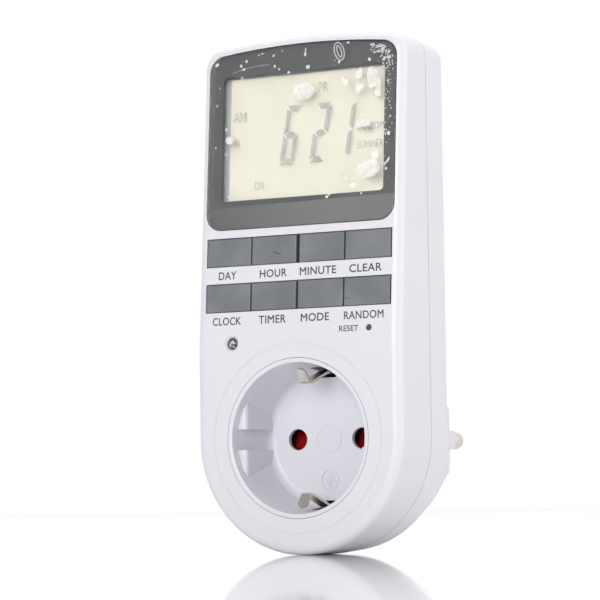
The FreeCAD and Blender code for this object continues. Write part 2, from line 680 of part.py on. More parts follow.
def key_spans(row):
    """The four keys of a row from left to right, as pairs of X."""
    start = -KEY_HALF + KEY_GAP
    room = 2 * KEY_HALF - KEY_GAP - KEY_END_GAP - KEY_MID_GAP[row] - 2 * KEY_PAIR_GAP
    width = room / 4
    spans = []
    for gap_after in (KEY_PAIR_GAP, KEY_MID_GAP[row], KEY_PAIR_GAP, 0):
        spans.append((start, start + width))
        start += width + gap_after
    return spans


def keycap(row, span):
    """Flat key with a flange behind the front wall and a stem on its rubber dome."""
    low, high = KEY_ROWS[row]
    x0, x1 = span
    cap = box(x0, x1, deep(0.05), deep(KEY_CAP_T), low + KEY_GAP, high - KEY_GAP)
    rim = [e for e in cap.Edges if all(abs(v.Y - deep(0.05)) < 0.01 for v in e.Vertexes)]
    cap = cap.makeFillet(0.35, rim)
    flange = box(x0, x1, deep(KEY_FLANGE_D), deep(KEY_CAP_T), low - KEY_FLANGE, high + KEY_FLANGE)
    middle_x, middle_z = (x0 + x1) / 2, (low + high) / 2
    stem = rod(1.6, middle_x, middle_z, deep(KEY_CAP_T) - 0.5, deep(STEM_D))
    return lean(fuse([cap, flange, stem]))


def dome_places():
    places = [(RESET_X, RESET_Z)]
    for row, heights in KEY_ROWS.items():
        places += [((a + b) / 2, sum(heights) / 2) for a, b in key_spans(row)]
    return places


def keypad_mat():
    """Rubber mat with a sprung dome under each key."""
    top = deep(MAT_D)
    sheet = box(-26.8, 26.8, top, deep(BOARD_D), 31.6, 54.4)
    tab = box(RESET_X - 4, RESET_X + 4, top, deep(BOARD_D), 24.5, 32)
    domes, hollows = [], []
    for x, z in dome_places():
        domes.append(Part.makeCone(1.8, 2.8, MAT_D - STEM_D, V(x, deep(STEM_D) + 0.02, z), V(0, 1, 0)))
        hollows.append(Part.makeCone(1.1, 2.3, 1.2, V(x, deep(BOARD_D) - 1.2, z), V(0, 1, 0)))
    passes = [rod(2.1, x, z, top - 1, deep(BOARD_D) + 1) for x, z in BOARD_POSTS[:2]]
    return lean(cut(fuse([sheet, tab] + domes), hollows + passes))


def reset_button():
    pin = rod(RESET_HOLE_R - 0.12, RESET_X, RESET_Z, deep(0.6), deep(STEM_D))
    flange = rod(1.6, RESET_X, RESET_Z, deep(2.2), deep(2.9))
    return lean(fuse([pin, flange]))


def status_led():
    """Clear domed lamp with a collar and two legs."""
    lens = rod(LED_R, LED_X, LED_Z, deep(1.9), deep(5.4))
    dome = Part.makeSphere(LED_R, V(LED_X, deep(1.9), LED_Z))
    collar = rod(LED_COLLAR_R, LED_X, LED_Z, deep(5.0), deep(6.0))
    legs = []
    for x in (LED_X - 1, LED_X + 1):
        legs.append(box(x - LED_LEG, x + LED_LEG, deep(5.8), deep(BOARD_D), LED_Z - LED_LEG, LED_Z + LED_LEG))
    return lean(fuse([lens, dome, collar] + legs))


def chip_blob():
    back = deep(BOARD_D + BOARD_T)
    blob = rod(CHIP_R, CHIP_X, CHIP_Z, back, back + CHIP_T)
    rim = [e for e in blob.Edges if abs(e.CenterOfMass.y - back - CHIP_T) < 0.01]
    return lean(blob.makeFillet(CHIP_T - 0.2, rim))


def crystal():
    back = deep(BOARD_D + BOARD_T)
    foot = V(CRYSTAL_X, back + CRYSTAL_R + 0.05, CRYSTAL_Z)
    return lean(Part.makeCylinder(CRYSTAL_R, CRYSTAL_LENGTH, foot, V(0, 0, 1)))


def backup_battery():
    back = deep(BOARD_D + BOARD_T)
    return lean(rod(CELL_R, CELL_X, CELL_Z, back + GRIP_D[0], back + GRIP_D[1]))


def battery_tabs():
    """Two springy tabs that hold the cell, one under it and one over it."""
    back = deep(BOARD_D + BOARD_T)
    top = back + GRIP_D[1] + TAB_T
    side_z = CELL_Z - CELL_R - 1.3
    under = box(*TAB_X, back, back + TAB_T, side_z - 3, CELL_Z)
    over = box(*TAB_X, back + GRIP_D[1] + 0.05, top, side_z + 0.4, CELL_Z + 2)
    side = box(*TAB_X, back, top, side_z, side_z + TAB_T)
    return lean(Part.makeCompound([under.cut(side), fuse([over, side])]))


def power_board():
    board = box(-POWER_HALF, POWER_HALF, *POWER_Y, *POWER_Z)
    return cut(board, [rod(BOARD_PASS_R, x, z, POWER_Y[0] - 1, POWER_Y[1] + 1) for x, z in POWER_POSTS])


def relay_base():
    return box(*RELAY_X, RELAY_BASE_Y, POWER_Y[0], *RELAY_Z)


def relay_case():
    """Cover of the relay, open towards its base."""
    outer = box(*RELAY_X, RELAY_FRONT_Y, RELAY_BASE_Y - 0.05, *RELAY_Z)
    inner_x = (RELAY_X[0] + RELAY_WALL, RELAY_X[1] - RELAY_WALL)
    inner_z = (RELAY_Z[0] + RELAY_WALL, RELAY_Z[1] - RELAY_WALL)
    return outer.cut(box(*inner_x, RELAY_FRONT_Y + RELAY_WALL, RELAY_BASE_Y + 1, *inner_z))


def relay_coil():
    """Wound coil between the two cheeks of its bobbin, with the iron core through it."""
    radii = (CHEEK_R, COIL_R, CHEEK_R, CORE_R)
    sections = []
    for radius, low, high in zip(radii, COIL_Z, COIL_Z[1:]):
        sections.append(Part.makeCylinder(radius, high - low, V(COIL_X, COIL_Y, low)))
    return fuse(sections)


def relay_yoke():
    """Iron bracket from the foot of the core to the armature's edge."""
    x0, x1 = COIL_X - YOKE_HALF, COIL_X + YOKE_HALF
    foot = box(x0, x1, -40.9, -33.0, 37.6, 38.5)
    wall = box(x0, x1, -41.0, -40.55, 37.6, 51.42)
    return fuse([foot, wall])


def relay_armature():
    """Iron flap over the core with the moving contact on its arm."""
    half = YOKE_HALF - 0.2
    flap = box(COIL_X - half, COIL_X + half, -41.4, -33.6, 51.5, 52.4)
    arm = box(COIL_X - ARM_HALF, COIL_X + ARM_HALF, -41.6, -41.2, 41.0, 52.4)
    contact = rod(ARM_CONTACT_R, COIL_X, ARM_CONTACT_Z, -41.7, -41.5)
    pivot = Part.makeCylinder(PIVOT_R, 2 * half, V(COIL_X - half, -41.3, 51.95), V(1, 0, 0))
    return fuse([flap, arm, pivot, contact])


def relay_contact():
    """Fixed contact on its blade, down to the power board."""
    blade = box(COIL_X - ARM_HALF, COIL_X + ARM_HALF, -42.38, -42.2, 36.5, 43.0)
    return fuse([blade, rod(ARM_CONTACT_R, COIL_X, ARM_CONTACT_Z, -42.25, -42.09)])


def film_capacitor():
    block = box(-22.0, -4.0, -41.5, POWER_Y[0], 44.0, 52.0)
    return block.makeFillet(0.6, [e for e in block.Edges if all(v.Y < -41 for v in e.Vertexes)])


def storage_capacitor():
    can = Part.makeCylinder(4.0, 11.5, V(-20, POWER_Y[0] - 4.0, 34), V(1, 0, 0))
    return can.makeFillet(0.5, [can.Edges[0], can.Edges[2]])


def bead(x, z, length, radius):
    """A small part with a leg at each end, lying on the power board along X."""
    y = POWER_Y[0] - radius - 0.05
    barrel = Part.makeCylinder(radius, length, V(x, y, z), V(1, 0, 0))
    lead = Part.makeCylinder(0.3, length + 3, V(x - 1.5, y, z), V(1, 0, 0))
    legs = [box(end - 0.3, end + 0.3, y, POWER_Y[0], z - 0.3, z + 0.3) for end in (x - 1.5, x + length + 1.5)]
    return fuse([barrel, lead] + legs)


def diodes():
    return Part.makeCompound([bead(-4.5, z, 4.5, 1.3) for z in (27, 31, 35, 39)])


def resistors():
    return Part.makeCompound([bead(-20.5, z, 6.3, 1.2) for z in (41.0, 56.0, 60.0)])


def fusible_resistor():
    return bead(6.5, 29.5, 9.0, 2.0)


def board_header():
    """Pin strip that joins the two boards."""
    block = box(-7.8, 7.8, -38.0, POWER_Y[0], 59.0, 61.5)
    pins = [box(x - 0.32, x + 0.32, -44.0, -37.5, 59.9, 60.5) for x in (-6.3, -3.8, -1.3, 1.3, 3.8, 6.3)]
    return fuse([block] + pins)


def nodes():
    made = {
        "front_housing": front_housing(),
        "rear_housing": rear_housing(),
        "plug_body": plug_body(),
        "window_lens": window_lens(),
        "window_mask": window_mask(),
        "window_film": window_film(),
        "lcd_front_glass": lcd_front_glass(),
        "lcd_back_glass": lcd_back_glass(),
        "lcd_reflector": lcd_reflector(),
        "lcd_holder": lcd_holder(),
        "zebra_strip": zebra_strip(),
        "control_board": control_board(),
        "chip_blob": chip_blob(),
        "crystal": crystal(),
        "backup_battery": backup_battery(),
        "battery_tabs": battery_tabs(),
        "keypad_mat": keypad_mat(),
        "reset_button": reset_button(),
        "status_led": status_led(),
        "socket_cup": socket_cup(),
        "safety_shutter": safety_shutter(),
        "shutter_guide": shutter_guide(),
        "shutter_spring": shutter_spring(),
        "earth_clip_top": earth_clip(),
        "earth_clip_bottom": mirror_z(earth_clip()),
        "earth_bridge": earth_bridge(),
        "plug_earth_top": plug_earth(),
        "plug_earth_bottom": mirror_z(plug_earth()),
        "plug_pin_left": plug_pin(-PIN_X),
        "plug_pin_right": plug_pin(PIN_X),
        "plug_bar_left": plug_bar(-1),
        "plug_bar_right": plug_bar(1),
        "socket_contact_left": socket_contact(-1),
        "socket_contact_right": socket_contact(1),
        "power_board": power_board(),
        "relay_base": relay_base(),
        "relay_case": relay_case(),
        "relay_coil": relay_coil(),
        "relay_yoke": relay_yoke(),
        "relay_armature": relay_armature(),
        "relay_contact": relay_contact(),
        "film_capacitor": film_capacitor(),
        "storage_capacitor": storage_capacitor(),
        "diodes": diodes(),
        "resistors": resistors(),
        "fusible_resistor": fusible_resistor(),
        "board_header": board_header(),
        "board_screws": board_screws(),
        "case_screws": Part.makeCompound([case_screw(x, z) for x, z in LOW_SCREWS + TOP_SCREWS]),
    }
    for row, names in KEY_NAMES.items():
        for name, span in zip(names, key_spans(row)):
            made[name] = keycap(row, span)
    return made


os.makedirs("parts", exist_ok=True)
for name, shape in nodes().items():
    shape.exportStep(f"parts/{name}.step")
    print(name, len(shape.Solids), round(shape.Volume, 2), shape.isValid())
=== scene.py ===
import json
import math
import random

import bmesh
import bpy
from mathutils import Matrix, Vector, noise


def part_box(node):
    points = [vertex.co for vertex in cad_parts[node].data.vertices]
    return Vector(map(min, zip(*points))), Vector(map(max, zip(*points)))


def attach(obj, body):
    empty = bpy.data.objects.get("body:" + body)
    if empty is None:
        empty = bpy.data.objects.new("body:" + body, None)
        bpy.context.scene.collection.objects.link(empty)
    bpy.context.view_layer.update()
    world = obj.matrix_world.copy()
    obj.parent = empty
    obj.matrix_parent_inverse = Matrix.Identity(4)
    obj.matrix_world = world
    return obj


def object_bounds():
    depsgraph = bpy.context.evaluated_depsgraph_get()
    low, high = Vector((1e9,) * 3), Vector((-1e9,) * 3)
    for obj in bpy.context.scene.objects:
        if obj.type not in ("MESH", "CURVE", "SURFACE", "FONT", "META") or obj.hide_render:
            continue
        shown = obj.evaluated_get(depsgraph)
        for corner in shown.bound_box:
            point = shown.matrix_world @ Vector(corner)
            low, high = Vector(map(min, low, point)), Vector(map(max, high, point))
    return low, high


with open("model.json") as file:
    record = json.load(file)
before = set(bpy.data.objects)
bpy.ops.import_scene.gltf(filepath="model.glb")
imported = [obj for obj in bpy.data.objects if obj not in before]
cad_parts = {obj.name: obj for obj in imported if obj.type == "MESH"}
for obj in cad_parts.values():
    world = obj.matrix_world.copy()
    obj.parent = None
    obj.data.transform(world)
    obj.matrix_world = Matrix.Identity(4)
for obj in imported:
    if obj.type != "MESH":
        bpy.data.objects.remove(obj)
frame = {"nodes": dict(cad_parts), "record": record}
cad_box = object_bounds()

# A plug-through weekly timer on a white glossy table. Lengths are metres; outlines on the leaning front are
# millimetres: x to the right, depth behind the front face, and height measured up the face.
MM = 0.001
FRONT_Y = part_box("front_housing")[0].y
BEND_Z = 24.05  # height at which the front starts to lean back
TILT = math.radians(4.05)
FACE = (
    Matrix.Translation((0, FRONT_Y, BEND_Z * MM))
    @ Matrix.Rotation(-TILT, 4, "X")
    @ Matrix.Scale(MM, 4)
    @ Matrix.Translation((0, 0, -BEND_Z))
)

# Depths behind the front face: front and back of the printed labels and of the display's segments, and the
# film's front. The segments lie in the thin gap between the two glasses.
PRINT_DEPTH = (-0.02, 0.01)
SEGMENT_DEPTH = (2.904, 2.916)
FILM_FRONT = -0.10
SUNK = 0.005  # how far the marks on the film reach into it

scene = bpy.context.scene


# ---------------------------------------------------------------- materials

COLOUR_A, COLOUR_B, COLOUR_RESULT = 6, 7, 2  # places of a Mix node's colour sockets


class Graph:
    """One material's node tree. Patterns are in the object's frame, so a scale is features per metre."""

    def __init__(self, name):
        self.material = bpy.data.materials.new(name)
        self.material.use_nodes = True
        self.tree = self.material.node_tree
        self.tree.nodes.clear()
        self.place = self.add("TexCoord").outputs["Object"]

    def add(self, kind, inputs=None, **settings):
        made = self.tree.nodes.new("ShaderNode" + kind)
        for key, value in settings.items():
            setattr(made, key, value)
        for key, value in (inputs or {}).items():
            if isinstance(value, bpy.types.NodeSocket):
                self.tree.links.new(value, made.inputs[key])
            else:
                made.inputs[key].default_value = value
        return made

    def noise(self, scale, detail=3.0, stretch=(1, 1, 1), distortion=0.0):
        place = self.place
        if stretch != (1, 1, 1):
            place = self.add("Mapping", {"Vector": place, "Scale": stretch}).outputs[0]
        inputs = {"Vector": place, "Scale": scale, "Detail": detail, "Distortion": distortion}
        return self.add("TexNoise", inputs).outputs["Fac"]

    def cell_edges(self, scale):
        inputs = {"Vector": self.place, "Scale": scale}
        return self.add("TexVoronoi", inputs, feature="DISTANCE_TO_EDGE").outputs["Distance"]

    def waves(self, scale, direction):
        inputs = {"Vector": self.place, "Scale": scale}
        return self.add("TexWave", inputs, bands_direction=direction).outputs["Fac"]

    def span(self, value, low, high, to_low=0.0, to_high=1.0):
        inputs = {"Value": value, "From Min": low, "From Max": high, "To Min": to_low, "To Max": to_high}
        return self.add("MapRange", inputs).outputs["Result"]

    def calc(self, operation, *values):
        return self.add("Math", dict(enumerate(values)), operation=operation).outputs[0]

    def mix(self, share, first, second):
        inputs = {"Factor": share, COLOUR_A: colour(first), COLOUR_B: colour(second)}
        return self.add("Mix", inputs, data_type="RGBA").outputs[COLOUR_RESULT]

    def relief(self, height, distance, strength=1.0, below=None):
        inputs = {"Height": height, "Distance": distance, "Strength": strength}
        if below is not None:
            inputs["Normal"] = below
        return self.add("Bump", inputs).outputs["Normal"]

    def finish(self, shader):
        self.add("OutputMaterial", {"Surface": shader})
        return self.material

    def finish_solid(self, inputs):
        return self.finish(self.add("BsdfPrincipled", inputs).outputs[0])


def colour(value):
    """A node's output as it is, or a colour with its alpha."""
    return value if isinstance(value, bpy.types.NodeSocket) else (*value, 1.0)


def moulded(name, light, dark, rough, grain=2200.0, depth=6e-6):
    """Injection-moulded plastic: slow flow marks, a fine eroded grain and a few hairline scuffs."""
    graph = Graph(name)
    flow = graph.noise(55.0, 4, (1, 1, 0.6), 0.4)
    fine = graph.noise(grain, 2)
    hair = graph.noise(160, 6, (1, 4, 14), 1.2)
    scuffs = graph.span(hair, 0.66, 0.74, 0, 0.25)
    base = graph.mix(graph.span(flow, 0.3, 0.7), light, dark)
    base = graph.mix(graph.span(fine, 0.62, 0.8, 0, 0.35), base, dark)
    dull = graph.calc("MULTIPLY", scuffs, 0.3)
    inputs = {
        "Base Color": base,
        "Roughness": graph.calc("ADD", graph.span(fine, 0.3, 0.7, *rough), dull),
        "Normal": graph.relief(hair, 4e-6, 0.4, graph.relief(fine, depth)),
    }
    return graph.finish_solid(inputs)


def metal(name, light, dark, rough, stretch=(1, 1, 1), grain=1400.0):
    """Plated or stamped metal with draw marks along it, dark streaks along them as painted reflection, and
    patches of tarnish.
    """
    graph = Graph(name)
    draw_marks_and_reflections = graph.noise(grain, 4, stretch)
    patch = graph.noise(170, 5, (1, 1, 1), 0.8)
    base = graph.mix(graph.span(patch, 0.42, 0.72, 0, 0.3), light, dark)
    # Painted reflection: dark streaks along the draw marks stand for dark surroundings mirrored in the metal.
    base = graph.mix(graph.span(draw_marks_and_reflections, 0.55, 0.8, 0, 0.4), base, dark)
    inputs = {
        "Base Color": base,
        "Metallic": 1.0,
        "Roughness": graph.span(graph.calc("MULTIPLY", draw_marks_and_reflections, patch), 0.1, 0.4, *rough),
        "Normal": graph.relief(draw_marks_and_reflections, 3e-6),
    }
    return graph.finish_solid(inputs)


def clear(name, tint, rough, ior, smear=90.0, depth=0.0, painted_gap_shade=False):
    """Clear solid that lets lamps through, with faint smears in its gloss and, if wanted, painted shade on
    its side faces for the dark gap round it.
    """
    graph = Graph(name)
    smears = graph.noise(smear, 5, (1, 1, 2.5), 0.6)
    base = graph.mix(graph.span(smears, 0.3, 0.7), tint, [channel * 0.995 for channel in tint])
    if painted_gap_shade:
        # Painted shade: faces that don't look to the front or back turn near black, standing for the dark gap
        # round the lens.
        normal = graph.add("NewGeometry").outputs["True Normal"]
        facing = graph.add("SeparateXYZ", {"Vector": normal}).outputs["Y"]
        flat = graph.span(graph.calc("MULTIPLY", facing, facing), 0.80, 0.95)
        base = graph.mix(flat, (0.02, 0.02, 0.022), base)
    inputs = {
        "Base Color": base,
        "Roughness": graph.span(smears, 0.35, 0.75, *rough),
        "Transmission Weight": 1.0,
        "IOR": ior,
    }
    if depth:
        inputs["Normal"] = graph.relief(smears, depth)
    solid = graph.add("BsdfPrincipled", inputs).outputs[0]
    lamps = graph.add("BsdfTransparent", {"Color": colour(tint)}).outputs[0]
    shadow = graph.add("LightPath").outputs["Is Shadow Ray"]
    return graph.finish(graph.add("MixShader", {0: shadow, 1: solid, 2: lamps}).outputs[0])


FILM_SLOPE = 0.0146  # rise of the film's lower edge from left to right
# Painted reflection: below this edge and left of the film, the ink behind the lens is painted lighter.
FILM_FOOT = (0.06122, 0.06138)  # heights in metres between which that edge's shade changes at the middle
FILM_SIDE = (-0.02678, -0.02668)  # the same across, at the film's left edge


def printed_border():
    """Dark ink behind the lens. Below and beside the film, where no film covers the lens, it is painted
    lighter as a painted reflection, more so towards the right.
    """
    graph = Graph("printed_border")
    parts = graph.add("SeparateXYZ", {"Vector": graph.place}).outputs
    height = graph.calc("MULTIPLY_ADD", parts["X"], -FILM_SLOPE, parts["Z"])
    below = graph.span(height, *FILM_FOOT, 1, 0)
    beside = graph.span(parts["X"], *FILM_SIDE, 1, 0)
    painted_reflection_mask = graph.calc("MAXIMUM", below, beside)
    flow = graph.noise(70, 4)
    covered = graph.mix(graph.span(flow, 0.3, 0.7), (0.040, 0.040, 0.041), (0.052, 0.052, 0.054))
    # Painted reflection: where no film covers the lens, the ink is painted lighter, rising from left to
    # right, with lighter flecks from the flow noise.
    ink_with_painted_reflection = graph.mix(graph.span(parts["X"], -0.028, 0.004), (0.066, 0.066, 0.066), (0.108, 0.108, 0.107))
    ink_with_painted_reflection = graph.mix(graph.span(flow, 0.3, 0.7, 0, 0.1), ink_with_painted_reflection, (0.16, 0.16, 0.16))
    inputs = {
        "Base Color": graph.mix(painted_reflection_mask, covered, ink_with_painted_reflection),
        "Roughness": graph.span(graph.noise(1800, 2), 0.3, 0.7, 0.42, 0.58),
        "Normal": graph.relief(graph.noise(2600, 2), 3e-6),
    }
    return graph.finish_solid(inputs)


def reflector_sheet():
    """Cream back sheet of the display, with a fine pearly grain."""
    graph = Graph("reflector_sheet")
    slow = graph.noise(45, 3)
    pearl = graph.noise(5200, 2, (1, 1, 1.6))
    base = graph.mix(graph.span(slow, 0.3, 0.7), (0.545, 0.525, 0.44), (0.53, 0.51, 0.425))
    base = graph.mix(graph.span(pearl, 0.5, 0.85, 0, 0.4), base, (0.49, 0.47, 0.39))
    inputs = {
        "Base Color": base,
        "Roughness": graph.span(pearl, 0.3, 0.7, 0.45, 0.6),
        "Normal": graph.relief(pearl, 5e-6),
        "Sheen Weight": 0.1,
    }
    return graph.finish_solid(inputs)


def key_plastic():
    """Satin grey keycaps: painted sheen in slow patches from bluish dark grey to lighter grey, fine grain and
    a few rubbed arcs.
    """
    graph = Graph("key_plastic")
    slow = graph.noise(95, 3, (1, 1, 0.7), 0.5)
    fine = graph.noise(2600, 2)
    hair = graph.noise(210, 5, (1, 1, 9), 2.2)
    rub = graph.span(hair, 0.70, 0.76, 0, 0.35)
    # Painted sheen: the slow patches between bluish dark grey and lighter grey stand for the satin
    # reflection.
    base = graph.mix(graph.span(slow, 0.35, 0.65), (0.150, 0.166, 0.180), (0.205, 0.212, 0.215))
    base = graph.mix(graph.span(fine, 0.55, 0.8, 0, 0.4), base, (0.13, 0.14, 0.15))
    base = graph.mix(rub, base, (0.10, 0.105, 0.11))
    inputs = {
        "Base Color": base,
        "Roughness": graph.span(fine, 0.3, 0.7, 0.38, 0.5),
        "Normal": graph.relief(hair, 5e-6, 0.5, graph.relief(fine, 4e-6)),
    }
    return graph.finish_solid(inputs)


def board_laminate():
    """Green solder mask over copper tracks and the weave of the laminate."""
    graph = Graph("board_laminate")
    tracks = graph.span(graph.cell_edges(420), 0.06, 0.10, 1, 0)
    weave = graph.calc("MULTIPLY", graph.waves(260.0, "X"), graph.waves(260.0, "Z"))
    base = graph.mix(graph.span(weave, 0.2, 0.8, 0, 0.4), (0.045, 0.16, 0.075), (0.06, 0.20, 0.09))
    base = graph.mix(graph.calc("MULTIPLY", tracks, 0.7), base, (0.16, 0.30, 0.12))
    inputs = {
        "Base Color": base,
        "Roughness": graph.span(weave, 0.2, 0.8, 0.28, 0.42),
        "Normal": graph.relief(tracks, 3e-5, 0.8, graph.relief(weave, 8e-6)),
    }
    return graph.finish_solid(inputs)


def winding():
    """Enamelled copper wire wound round the coil's bobbin, one turn every third of a millimetre."""
    graph = Graph("winding")
    turns_and_groove_shade = graph.waves(980.0, "Z")
    # Painted shade: the copper darkens in the groove where one turn meets the next.
    base = graph.mix(turns_and_groove_shade, (0.16, 0.05, 0.018), (0.62, 0.27, 0.12))
    inputs = {
        "Base Color": graph.mix(graph.span(graph.noise(300), 0.4, 0.8, 0, 0.5), base, (0.4, 0.16, 0.05)),
        "Metallic": 0.8,
        "Roughness": graph.span(turns_and_groove_shade, 0, 1, 0.5, 0.3),
        "Normal": graph.relief(turns_and_groove_shade, 6e-5),
    }
    return graph.finish_solid(inputs)


def see_through(name, tone, least, most, scale, rough=0.35, depth=2e-5):
    """Thin layer that hides what lies behind it more in some places than in others."""
    graph = Graph(name)
    cloud = graph.noise(scale, 4, (1, 1, 1), 0.5)
    hold = graph.span(cloud, 0.35, 0.65, least, most)
    inputs = {
        "Base Color": graph.mix(graph.span(cloud, 0.3, 0.7), tone, [channel * 0.94 for channel in tone]),
        "Roughness": graph.span(cloud, 0.3, 0.7, rough, rough + 0.15),
        "Normal": graph.relief(cloud, depth),
    }
    solid = graph.add("BsdfPrincipled", inputs).outputs[0]
    gone = graph.add("BsdfTransparent").outputs[0]
    return graph.finish(graph.add("MixShader", {0: hold, 1: gone, 2: solid}).outputs[0])


def label_ink():
    """Pad-printed dark grey ink with slightly uneven cover."""
    graph = Graph("label_ink")
    cover = graph.noise(2400, 4)
    inputs = {
        "Base Color": graph.mix(graph.span(cover, 0.35, 0.7), (0.052, 0.052, 0.060), (0.095, 0.095, 0.105)),
        "Roughness": graph.span(cover, 0.3, 0.7, 0.4, 0.6),
        "Normal": graph.relief(cover, 4e-6),
    }
    return graph.finish_solid(inputs)


def table_top():
    """White glossy board with faint unevenness."""
    graph = Graph("table_top")
    slow = graph.noise(9, 4)
    inputs = {
        "Base Color": graph.mix(graph.span(slow, 0.3, 0.7), (0.86, 0.86, 0.865), (0.84, 0.84, 0.845)),
        "Roughness": graph.span(slow, 0.3, 0.7, 0.03, 0.06),
        "Normal": graph.relief(slow, 2e-5, 0.3),
    }
    return graph.finish_solid(inputs)


# One finish for each of the record's material slots
FINISHES = {
    "housing": moulded("housing_plastic", (0.735, 0.725, 0.772), (0.715, 0.705, 0.755), (0.30, 0.40)),
    "white_plastic": moulded("white_plastic", (0.72, 0.715, 0.745), (0.70, 0.695, 0.73), (0.34, 0.45)),
    "grey_plastic": moulded("frame_plastic", (0.33, 0.33, 0.335), (0.29, 0.29, 0.295), (0.4, 0.55)),
    "clear_lens": clear("lens_plastic", (0.998, 0.999, 0.999), (0.01, 0.04), 1.49, painted_gap_shade=True),
    "dark_print": printed_border(),
    "film": clear("peel_film", (0.999, 0.999, 0.999), (0.03, 0.10), 1.12, smear=220.0, depth=1.5e-5),
    "lcd_glass": clear("display_glass", (0.999, 0.999, 0.998), (0.0, 0.02), 1.16),
    "lcd_reflector": reflector_sheet(),
    "grey_rubber": moulded(
        "silicone_mat", (0.11, 0.115, 0.12), (0.09, 0.095, 0.10), (0.55, 0.75), grain=1500.0, depth=1e-5
    ),
    "circuit_board": board_laminate(),
    "black_epoxy": moulded(
        "cast_epoxy", (0.02, 0.02, 0.021), (0.012, 0.012, 0.013), (0.12, 0.3), grain=900.0
    ),
    "black_plastic": moulded("black_plastic", (0.030, 0.030, 0.033), (0.020, 0.020, 0.022), (0.4, 0.55)),
    "nickel": metal(
        "nickel_plate", (0.72, 0.69, 0.62), (0.34, 0.30, 0.25), (0.12, 0.34), (1, 0.12, 1), grain=1500.0
    ),
    "steel": metal("zinc_steel", (0.62, 0.62, 0.62), (0.30, 0.30, 0.31), (0.25, 0.45)),
    "brass": metal("stamped_brass", (0.80, 0.60, 0.28), (0.42, 0.27, 0.10), (0.2, 0.45), stretch=(1, 1, 0.2)),
    "key": key_plastic(),
    "dark_key": moulded("reset_plastic", (0.085, 0.085, 0.09), (0.06, 0.06, 0.065), (0.4, 0.55)),
    "led_lens": clear("led_epoxy", (0.97, 0.97, 0.96), (0.0, 0.03), 1.5),
    "red_plastic": moulded(
        "shutter_red", (0.36, 0.006, 0.009), (0.20, 0.003, 0.005), (0.12, 0.28), grain=500.0
    ),
    "copper_winding": winding(),
    "yellow_plastic": moulded("capacitor_box", (0.70, 0.50, 0.07), (0.60, 0.42, 0.05), (0.3, 0.5)),
    "blue_ceramic": moulded(
        "resistor_lacquer", (0.20, 0.34, 0.45), (0.14, 0.26, 0.36), (0.25, 0.4), grain=1200.0
    ),
}
# Painted shade: the white shutter guide is given black plastic, standing for the dark inside the pin holes.
SHADE_PAINTED_NODES = {"shutter_guide": FINISHES["black_plastic"]}  # seen only through the pin holes, in the dark
for entry in frame["record"]["subparts"]:
    node = entry["node"]
    skins = frame["nodes"][node].data.materials
    skins.clear()
    skins.append(SHADE_PAINTED_NODES.get(node, FINISHES[entry["material_slot"]]))


# ---------------------------------------------------------------- mesh helpers


def piece(name, mesh, material, body="case"):
    """Puts a mesh in the scene as a named piece that rides on a body."""
    mesh.materials.clear()
    mesh.materials.append(material)
    made = bpy.data.objects.new(name, mesh)
    scene.collection.objects.link(made)
    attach(made, body)


def to_mesh(bm, name):
    """Turns the working mesh into a finished one, with its normals outwards."""
    bmesh.ops.recalc_face_normals(bm, faces=bm.faces)
    mesh = bpy.data.meshes.new(name)
    bm.to_mesh(mesh)
    bm.free()
    return mesh


def add_layers(bm, layers, closed=True):
    """Joins rings of points on the face, each with as many as the last, and caps both ends if closed."""
    rings = [[bm.verts.new(FACE @ Vector(p)) for p in layer] for layer in layers]
    count = len(rings[0])
    for lower, upper in zip(rings, rings[1:]):
        for i in range(count):
            j = (i + 1) % count
            bm.faces.new((lower[i], lower[j], upper[j], upper[i]))
    if closed:
        bm.faces.new(rings[0])
        bm.faces.new(rings[-1])


def add_plate(bm, outline, front, back):
    """A flat plate from an outline of (x, height) points, between two depths."""
    add_layers(bm, [[(x, depth, z) for x, z in outline] for depth in (front, back)])


def add_band(bm, line, width, front, back, closed=False):
    """A thin raised line of the given width along (x, height) points, tapered or, if closed, a loop."""
    count = len(line)
    inner, outer = [], []
    for i, (x, z) in enumerate(line):
        before = line[i - 1] if closed or i else line[i]
        after = line[(i + 1) % count] if closed or i < count - 1 else line[i]
        along = Vector((after[0] - before[0], after[1] - before[1])).normalized()
        taper = 1.0 if closed else math.sin(math.pi * (i + 0.6) / (count + 0.2)) ** 0.5
        side = Vector((-along.y, along.x)) * width / 2 * taper
        inner.append((x - side.x, z - side.y))
        outer.append((x + side.x, z + side.y))
    if not closed:
        add_plate(bm, inner + outer[::-1], front, back)
        return
    rings = [(inner, back), (inner, front), (outer, front), (outer, back)]
    add_layers(bm, [[(x, depth, z) for x, z in ring] for ring, depth in rings], closed=False)
    add_layers(bm, [[(x, back, z) for x, z in ring] for ring in (outer, inner)], closed=False)
    bmesh.ops.remove_doubles(bm, verts=bm.verts, dist=1e-8)


def oval(x, z, width, height, turn=0.0, points=28):
    """Points round an ellipse, turned by an angle in degrees."""
    cos, sin = math.cos(math.radians(turn)), math.sin(math.radians(turn))
    made = []
    for i in range(points):
        bearing = 2 * math.pi * i / points
        along, across = width / 2 * math.cos(bearing), height / 2 * math.sin(bearing)
        made.append((x + along * cos - across * sin, z + along * sin + across * cos))
    return made


def add_blister(bm, x, z, width, height, turn=0.0, rough=0.18, rise=0.06):
    """A low blister with an uneven rim, standing on the film. Its layers shrink from the rim to the top."""
    rim = []
    for i, (px, pz) in enumerate(oval(x, z, width, height, turn, 18)):
        wave = 1 + rough * noise.noise((px * 1.7, pz * 1.7, x + z))
        rim.append((x + (px - x) * wave, z + (pz - z) * wave))
    layers = []
    for share, lift in ((1.0, SUNK), (0.93, -rise * 0.5), (0.7, -rise * 0.85), (0.35, -rise)):
        layers.append([(x + (px - x) * share, FILM_FRONT + lift, z + (pz - z) * share) for px, pz in rim])
    add_layers(bm, layers)


